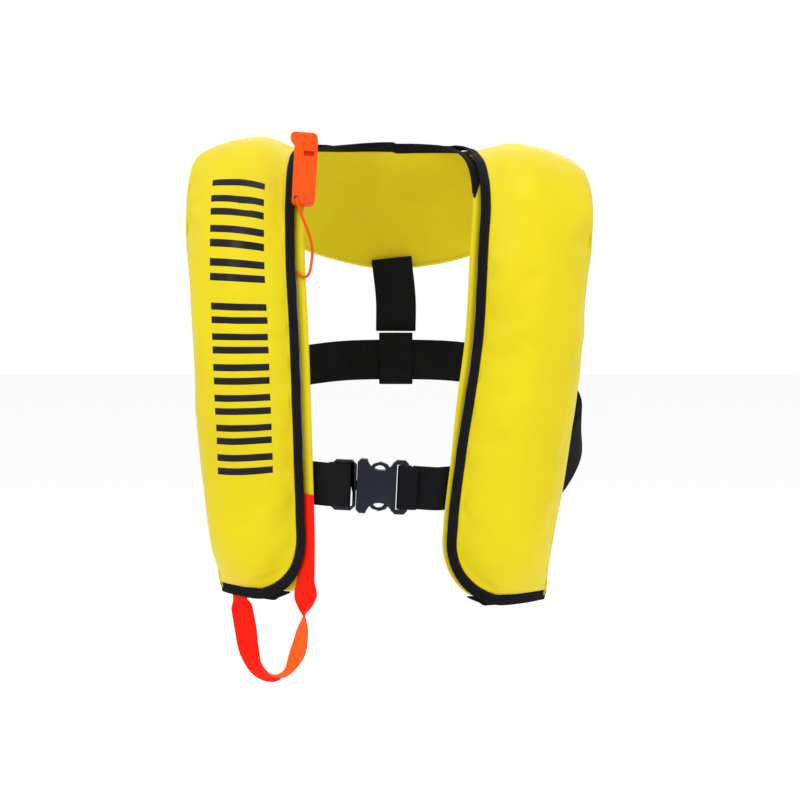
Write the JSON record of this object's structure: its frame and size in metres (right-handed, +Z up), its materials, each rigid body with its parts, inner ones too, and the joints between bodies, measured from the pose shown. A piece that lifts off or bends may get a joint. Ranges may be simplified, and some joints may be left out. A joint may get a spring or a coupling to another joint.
{
  "type": "inflatable life jacket",
  "caption": "Worn inflatable life jacket: folded yellow horseshoe cover with black binding, waist belt with side-release buckle, gas inflator, oral tube, pull strap and whistle.",
  "frame": {"origin": "centre of the neck opening, level with the top of the shoulders", "axes": "+Z up the standing wearer, -Y out of the chest (front), +X to the right of someone facing the front"},
  "size_m": [0.3551, 0.2544, 0.4851],
  "materials": {
    "cover_cloth": "coated polyester, satin, plain weave",
    "lining_cloth": "coated polyester, plain weave",
    "binding_tape": "ribbed binding tape, matt",
    "black_webbing": "ribbed polyester webbing",
    "buckle_plastic": "moulded acetal, semi-gloss",
    "black_plastic": "moulded nylon",
    "whistle_plastic": "moulded ABS, semi-gloss",
    "red_webbing": "polyester webbing",
    "red_plastic": "moulded nylon",
    "green_plastic": "moulded polycarbonate",
    "bladder_cloth": "coated nylon, smooth",
    "closure_tape": "hook and loop tape",
    "reflective_film": "retroreflective film",
    "cylinder_steel": "zinc plated",
    "lanyard_cord": "braided cord"
  },
  "bodies": {
    "vest": {"lining_left": "lining_cloth", "lining_right": "lining_cloth", "lining_collar": "lining_cloth", "belt_tunnel_left": "lining_cloth", "belt_tunnel_right": "lining_cloth", "cover_shoulder_left": "cover_cloth", "cover_shoulder_right": "cover_cloth", "cover_collar": "cover_cloth", "cover_side_left": "cover_cloth", "cover_side_right": "cover_cloth", "cover_side_collar": "cover_cloth", "binding_neck": "binding_tape", "binding_lining_left": "binding_tape", "binding_lining_right": "binding_tape", "binding_collar": "binding_tape", "loop_tape_left": "closure_tape", "loop_tape_right": "closure_tape", "bladder_left": "bladder_cloth", "bladder_right": "bladder_cloth", "bladder_collar": "bladder_cloth", "reflective_patch_left": "reflective_film", "reflective_patch_right": "reflective_film", "inflator_body": "black_plastic", "tube_elbow": "black_plastic", "oral_tube": "black_plastic", "valve_head": "black_plastic", "inflator_flange": "whistle_plastic", "status_indicator": "green_plastic", "lever_pin": "cylinder_steel", "belt_left": "black_webbing", "belt_back": "black_webbing", "belt_right": "black_webbing", "belt_front_right": "black_webbing", "back_strap": "black_webbing", "back_keeper": "black_webbing", "buckle_male": "buckle_plastic", "whistle_lanyard": "lanyard_cord"},
    "flap_left": {"cover_flap_left": "cover_cloth", "binding_flap_left": "binding_tape", "hook_tape_left": "closure_tape"},
    "flap_right": {"cover_flap_right": "cover_cloth", "binding_flap_right": "binding_tape", "hook_tape_right": "closure_tape"},
    "buckle_socket": {"buckle_socket": "buckle_plastic"},
    "prong_upper": {"buckle_prong_upper": "buckle_plastic"},
    "prong_lower": {"buckle_prong_lower": "buckle_plastic"},
    "pull_strap": {"pull_strap": "red_webbing"},
    "inflator_lever": {"inflator_lever": "red_plastic"},
    "inflator_cap": {"inflator_cap": "green_plastic"},
    "gas_cylinder": {"gas_cylinder": "cylinder_steel"},
    "valve_plunger": {"valve_plunger": "whistle_plastic"},
    "valve_cap": {"valve_cap": "black_plastic"},
    "whistle": {"whistle": "whistle_plastic"}
  },
  "joints": [
    {"name": "left_flap_open", "type": "hinge", "parent": "vest", "child": "flap_left", "pos_m": [-0.1498, -0.06346, -0.39934], "axis": [0.0923, 0.001, -0.9957], "range_deg": [0, 80]},
    {"name": "right_flap_open", "type": "hinge", "parent": "vest", "child": "flap_right", "pos_m": [0.12727, -0.06697, -0.40571], "axis": [0.1248, -0.0086, 0.9921], "range_deg": [0, 80]},
    {"name": "buckle_release", "type": "slide", "parent": "vest", "child": "buckle_socket", "axis": [0.9988, 0, -0.048], "range_m": [0, 0.024], "deforming": ["buckle_prong_upper", "buckle_prong_lower", "belt_front_right"]},
    {"name": "prong_upper_squeeze", "type": "hinge", "parent": "vest", "child": "prong_upper", "pos_m": [-0.03201, -0.1191, -0.28586], "axis": [0, 1, 0], "range_deg": [0, 13], "stiffness_Nm_per_rad": 0.5},
    {"name": "prong_lower_squeeze", "type": "hinge", "parent": "vest", "child": "prong_lower", "pos_m": [-0.03311, -0.1191, -0.30863], "axis": [0, 1, 0], "range_deg": [-13, 0], "stiffness_Nm_per_rad": 0.5},
    {"name": "pull_strap_pull", "type": "slide", "parent": "vest", "child": "pull_strap", "axis": [0.06, 0.022, -0.998], "range_m": [0, 0.014]},
    {"name": "lever_turn", "type": "hinge", "parent": "vest", "child": "inflator_lever", "pos_m": [-0.11202, -0.10805, -0.30967], "axis": [0.63, 0.7731, 0.0741], "range_deg": [0, 60.2]},
    {"name": "inflator_cap_turn", "type": "hinge", "parent": "vest", "child": "inflator_cap", "pos_m": [-0.13334, -0.10104, -0.3474], "axis": [-0.0478, -0.0566, 0.9973], "continuous": true},
    {"name": "gas_cylinder_turn", "type": "hinge", "parent": "vest", "child": "gas_cylinder", "pos_m": [-0.13733, -0.10935, -0.23347], "axis": [-0.0267, -0.0338, 0.9991], "continuous": true},
    {"name": "valve_press", "type": "slide", "parent": "vest", "child": "valve_plunger", "axis": [-0.037, 0.0646, -0.9972], "range_m": [0, 0.004], "stiffness_N_per_m": 300},
    {"name": "valve_cap_off", "type": "slide", "parent": "vest", "child": "valve_cap", "axis": [0.037, -0.0646, 0.9972], "range_m": [0, 0.006]},
    {"name": "whistle_pull", "type": "slide", "parent": "vest", "child": "whistle", "axis": [0.04, 0.3399, 0.9396], "range_m": [0, 0.03], "deforming": ["whistle_lanyard"]}
  ],
  "couplings": [
    {"joint": "prong_lower_squeeze", "follows": "prong_upper_squeeze", "ratio": -1},
    {"joint": "lever_turn", "follows": "pull_strap_pull", "rad_per_m": 75}
  ]
}
